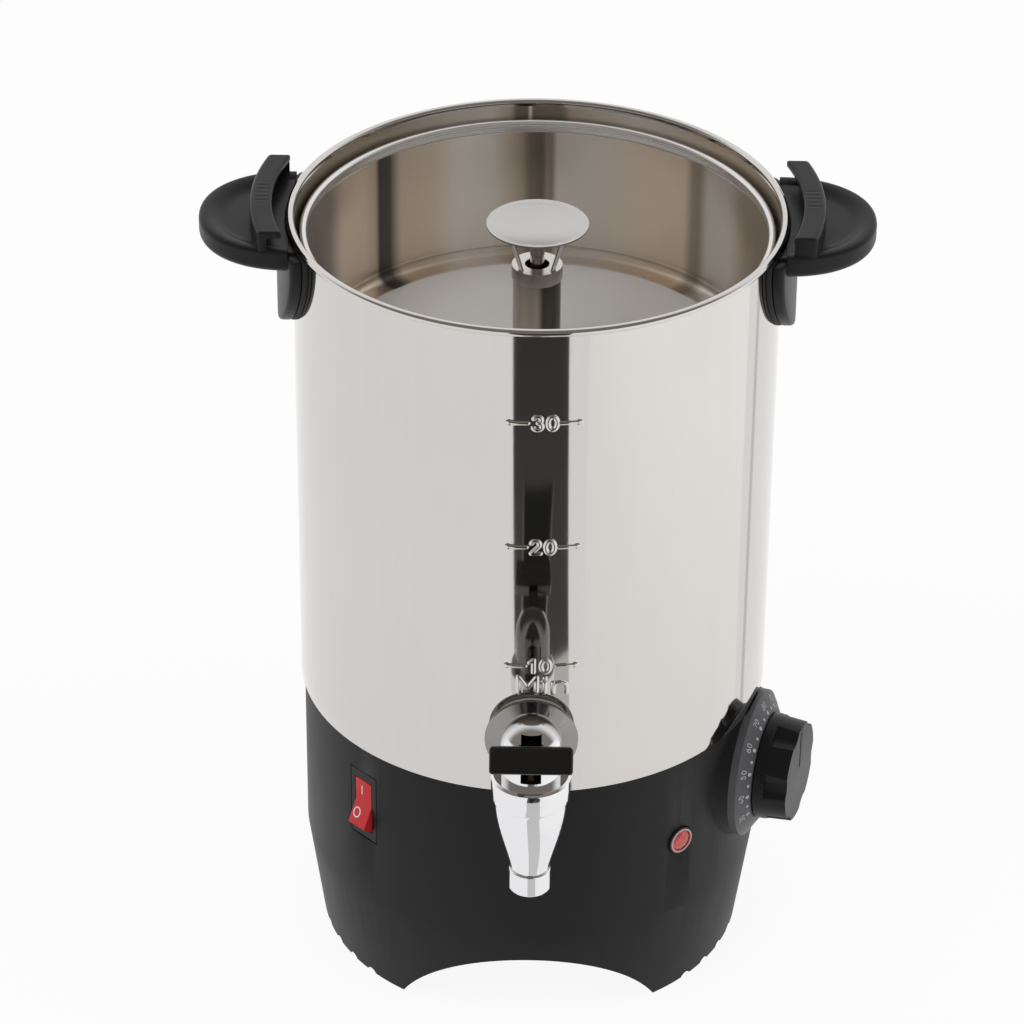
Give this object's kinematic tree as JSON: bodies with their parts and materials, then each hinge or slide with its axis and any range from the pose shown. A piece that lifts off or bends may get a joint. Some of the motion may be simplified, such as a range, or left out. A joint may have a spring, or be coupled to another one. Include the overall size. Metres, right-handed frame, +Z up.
{
  "type": "coffee urn",
  "caption": "Free-standing steel coffee urn with black heater base, side handles, lift-out basket and pump tube, lever tap, temperature dial, rocker switch and lamp; no lid.",
  "frame": {"origin": "on the table top, at the middle of the round base", "axes": "+Z up along the tank's axis, -Y towards the tap, +X towards the right handle and the dial"},
  "size_m": [0.276, 0.2767, 0.3494],
  "materials": {
    "polished_steel": "mirror-polished stainless steel",
    "inner_steel": "bright stainless steel",
    "satin_steel": "satin stainless steel",
    "plated_steel": "zinc-plated steel",
    "base_plastic": "black heat-resistant plastic, satin",
    "handle_plastic": "black heat-resistant plastic, satin",
    "dial_plastic": "dark grey plastic, satin",
    "knob_plastic": "black plastic, satin",
    "switch_black": "black plastic, gloss",
    "rocker_red": "red plastic, gloss",
    "lamp_ring": "pale grey plastic, gloss",
    "lamp_red": "clear red plastic, gloss",
    "lever_plastic": "black plastic, satin",
    "tap_chrome": "chrome plate",
    "brass": "plain brass",
    "copper": "plain copper",
    "heater_aluminium": "plain aluminium",
    "element_sheath": "dull heater sheath",
    "dark_ceramic": "dark moulded thermoset",
    "cream_plastic": "cream moulded thermoset",
    "black_rubber": "black silicone rubber",
    "pale_silicone": "pale silicone rubber",
    "brown_wire": "brown wire insulation",
    "blue_wire": "blue wire insulation",
    "green_wire": "green wire insulation",
    "white_wire": "white wire insulation",
    "orange_wire": "orange wire insulation"
  },
  "bodies": {
    "urn": {"tank_wall": "polished_steel", "tank_floor": "inner_steel", "base_shell": "base_plastic", "bottom_cover": "plated_steel", "centre_stud": "plated_steel", "stud_nuts": "plated_steel", "heat_shield": "heater_aluminium", "heat_plate": "heater_aluminium", "heating_element": "element_sheath", "boil_dry_cutout": "dark_ceramic", "thermostat_body": "cream_plastic", "thermostat_screws": "plated_steel", "capillary_tube": "copper", "sensor_bulb": "copper", "sensor_clip": "plated_steel", "dial_plate": "dial_plastic", "switch_housing": "switch_black", "lamp_housing": "lamp_ring", "lamp_lens": "lamp_red", "inlet_housing": "switch_black", "inlet_pins": "brass", "terminal_block": "cream_plastic", "live_wire": "brown_wire", "neutral_wire": "blue_wire", "earth_wire": "green_wire", "heater_wires": "white_wire", "lamp_wires": "orange_wire", "left_handle": "handle_plastic", "right_handle": "handle_plastic", "left_handle_gasket": "black_rubber", "right_handle_gasket": "black_rubber", "handle_screws": "plated_steel", "handle_seals": "pale_silicone", "handle_inserts": "brass", "tap_body": "tap_chrome", "tap_flange": "tap_chrome", "tap_gaskets": "pale_silicone", "tap_nut": "tap_chrome", "tap_bonnet": "tap_chrome", "tap_spout": "tap_chrome", "tap_spring": "satin_steel", "tap_lever_pin": "plated_steel"},
    "tap_lever": {"tap_lever": "lever_plastic"},
    "tap_valve": {"tap_stem": "brass", "tap_seat_cup": "pale_silicone"},
    "temperature_knob": {"knob": "knob_plastic", "knob_spindle": "plated_steel"},
    "power_rocker": {"rocker": "rocker_red"},
    "pump": {"pump_tube": "inner_steel", "pump_bell": "inner_steel"},
    "pump_valve": {"valve_washer": "satin_steel"},
    "basket": {"basket_wall": "inner_steel", "basket_floor": "inner_steel", "basket_sleeve": "inner_steel", "spreader_collar": "inner_steel", "spreader_disc": "satin_steel"}
  },
  "joints": [
    {"name": "tap_lever_hinge", "type": "hinge", "parent": "urn", "child": "tap_lever", "pos_m": [0, -0.1495, 0.1755], "axis": [1, 0, 0], "range_deg": [0, 26]},
    {"name": "tap_valve_slide", "type": "slide", "parent": "urn", "child": "tap_valve", "axis": [0, 0, 1], "range_m": [0, 0.0043], "stiffness_N_per_m": 60, "springref_m": -0.006, "deforming": ["tap_spring"]},
    {"name": "temperature_knob_turn", "type": "hinge", "parent": "urn", "child": "temperature_knob", "pos_m": [0.09952, -0.03349, 0.0933], "axis": [0.9478, -0.319, 0], "range_deg": [-270, 0]},
    {"name": "power_rocker_tilt", "type": "hinge", "parent": "urn", "child": "power_rocker", "pos_m": [-0.06747, -0.06516, 0.094], "axis": [0.6947, -0.7193, 0], "range_deg": [0, 24]},
    {"name": "pump_tube_lift", "type": "slide", "parent": "urn", "child": "pump", "axis": [0, 0, 1], "range_m": [0, 0.25]},
    {"name": "basket_lift", "type": "slide", "parent": "pump", "child": "basket", "axis": [0, 0, 1], "range_m": [0, 0.09]},
    {"name": "pump_valve_lift", "type": "slide", "parent": "pump", "child": "pump_valve", "axis": [0, 0, 1], "range_m": [0, 0.002]}
  ],
  "couplings": [
    {"joint": "tap_lever_hinge", "follows": "tap_valve_slide", "rad_per_m": 105.26}
  ]
}
